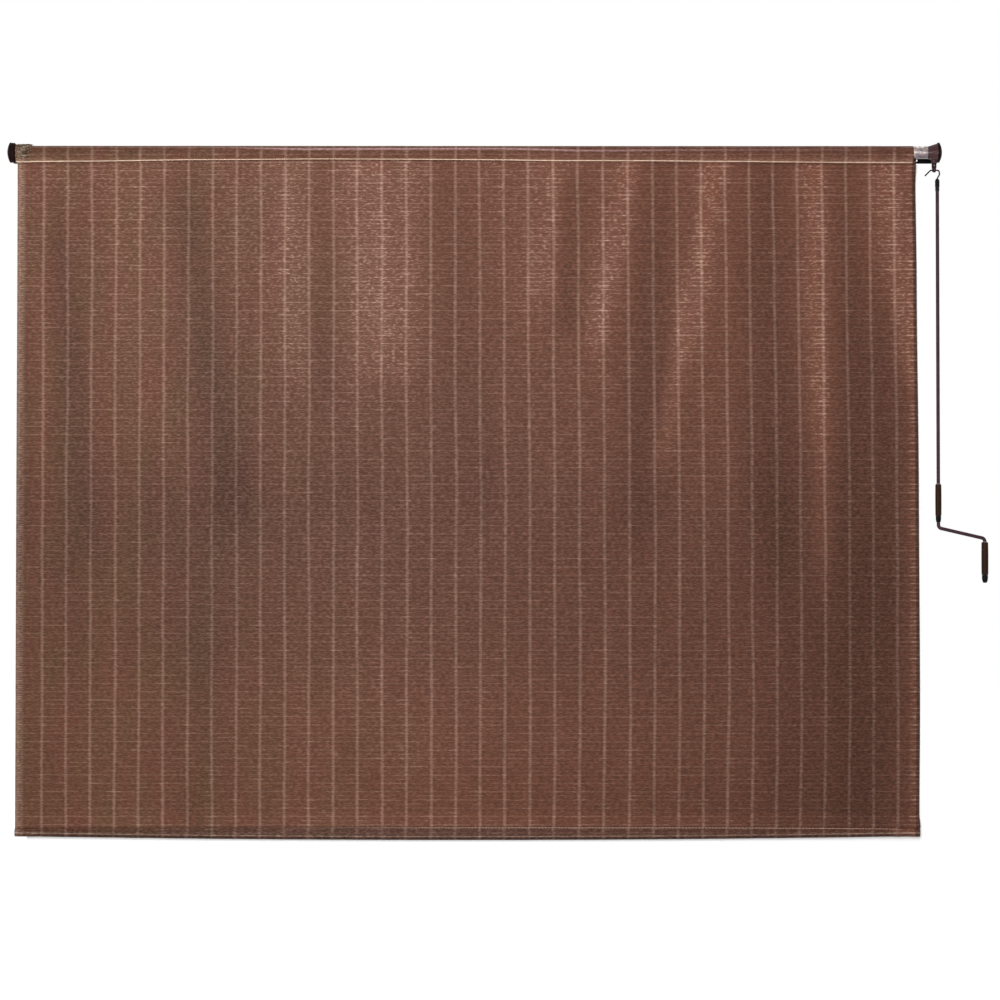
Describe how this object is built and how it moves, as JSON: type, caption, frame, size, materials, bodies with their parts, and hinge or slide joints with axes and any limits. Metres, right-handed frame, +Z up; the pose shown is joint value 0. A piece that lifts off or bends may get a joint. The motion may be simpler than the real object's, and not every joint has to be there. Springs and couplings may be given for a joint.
{
  "type": "outdoor roller shade",
  "caption": "Wide outdoor roller shade of ribbed mesh cloth on a tube between wall brackets, with a bevel gear drive and a hook-on crank wand.",
  "frame": {"origin": "on the wall plane, level with the roller's axis, at the middle of the four wall screws", "axes": "+X along the roller towards the crank, -Y towards the viewer, +Y into the wall, +Z up"},
  "size_m": [2.6466, 0.0722, 1.8722],
  "materials": {
    "bracket_paint": "satin",
    "cap_plastic": "satin",
    "housing_plastic": "satin",
    "zinc_steel": "satin",
    "spring_steel": "satin",
    "bush_plastic": "satin",
    "gear_plastic": "satin",
    "gear_steel": "satin",
    "eye_paint": "satin",
    "plug_plastic": "matte",
    "tube_metal": "satin",
    "shade_cloth": "matte",
    "rail_metal": "satin",
    "wand_paint": "satin",
    "ferrule_plastic": "satin",
    "collar_plastic": "satin",
    "grip_plastic": "satin"
  },
  "bodies": {
    "mounting": {"drive_bracket": "bracket_paint", "idler_bracket": "bracket_paint", "drive_end_cap": "cap_plastic", "idler_end_cap": "cap_plastic", "gear_housing": "housing_plastic", "idler_cover": "housing_plastic", "cover_screws": "zinc_steel", "drive_bush": "bush_plastic", "brake_spring": "spring_steel", "input_bush": "bush_plastic", "thrust_washer": "zinc_steel", "idler_axle": "zinc_steel", "idler_washer": "zinc_steel", "idler_nut": "zinc_steel", "fabric_panel": "shade_cloth"},
    "roller": {"roller_tube": "tube_metal", "fabric_roll": "shade_cloth", "drive_plug": "plug_plastic", "idler_plug": "plug_plastic", "idler_bush": "bush_plastic", "fabric_spline": "plug_plastic", "drive_gear": "gear_plastic", "gear_washer": "zinc_steel", "gear_screw": "zinc_steel", "tube_screw": "zinc_steel"},
    "crank": {"crank_rod": "wand_paint", "pinion": "gear_steel", "crank_shaft": "gear_steel", "crank_eye": "eye_paint", "eye_pin": "zinc_steel", "crank_hook": "wand_paint", "hook_ferrule": "ferrule_plastic", "rod_collar": "collar_plastic", "grip_rings": "spring_steel", "upper_grip_stop": "ferrule_plastic", "lower_grip_stop": "ferrule_plastic"},
    "upper_grip": {"upper_grip": "grip_plastic"},
    "lower_grip": {"lower_grip": "grip_plastic"},
    "bottom_rail": {"hem_pocket": "shade_cloth", "hem_bar": "rail_metal", "hem_plug_left": "cap_plastic", "hem_plug_right": "cap_plastic"}
  },
  "joints": [
    {"name": "crank_turn", "type": "hinge", "parent": "mounting", "child": "crank", "pos_m": [1.2415, -0.045, -0.03], "axis": [0, 0, 1], "range_deg": [0, 12960]},
    {"name": "roller_spin", "type": "hinge", "parent": "mounting", "child": "roller", "pos_m": [0, -0.045, 0], "axis": [1, 0, 0], "range_deg": [0, 4320]},
    {"name": "shade_lift", "type": "slide", "parent": "mounting", "child": "bottom_rail", "axis": [0, 0, 1], "range_m": [0, 1.7492], "deforming": ["fabric_panel"]},
    {"name": "upper_grip_spin", "type": "hinge", "parent": "crank", "child": "upper_grip", "pos_m": [1.25, -0.045, -0.94], "axis": [0, 0, 1], "continuous": true},
    {"name": "lower_grip_spin", "type": "hinge", "parent": "crank", "child": "lower_grip", "pos_m": [1.3747, -0.045, -1.097], "axis": [0, 0, 1], "continuous": true}
  ],
  "couplings": [
    {"joint": "roller_spin", "follows": "crank_turn", "ratio": 0.33333},
    {"joint": "shade_lift", "follows": "crank_turn", "m_per_rad": 0.0077332}
  ]
}
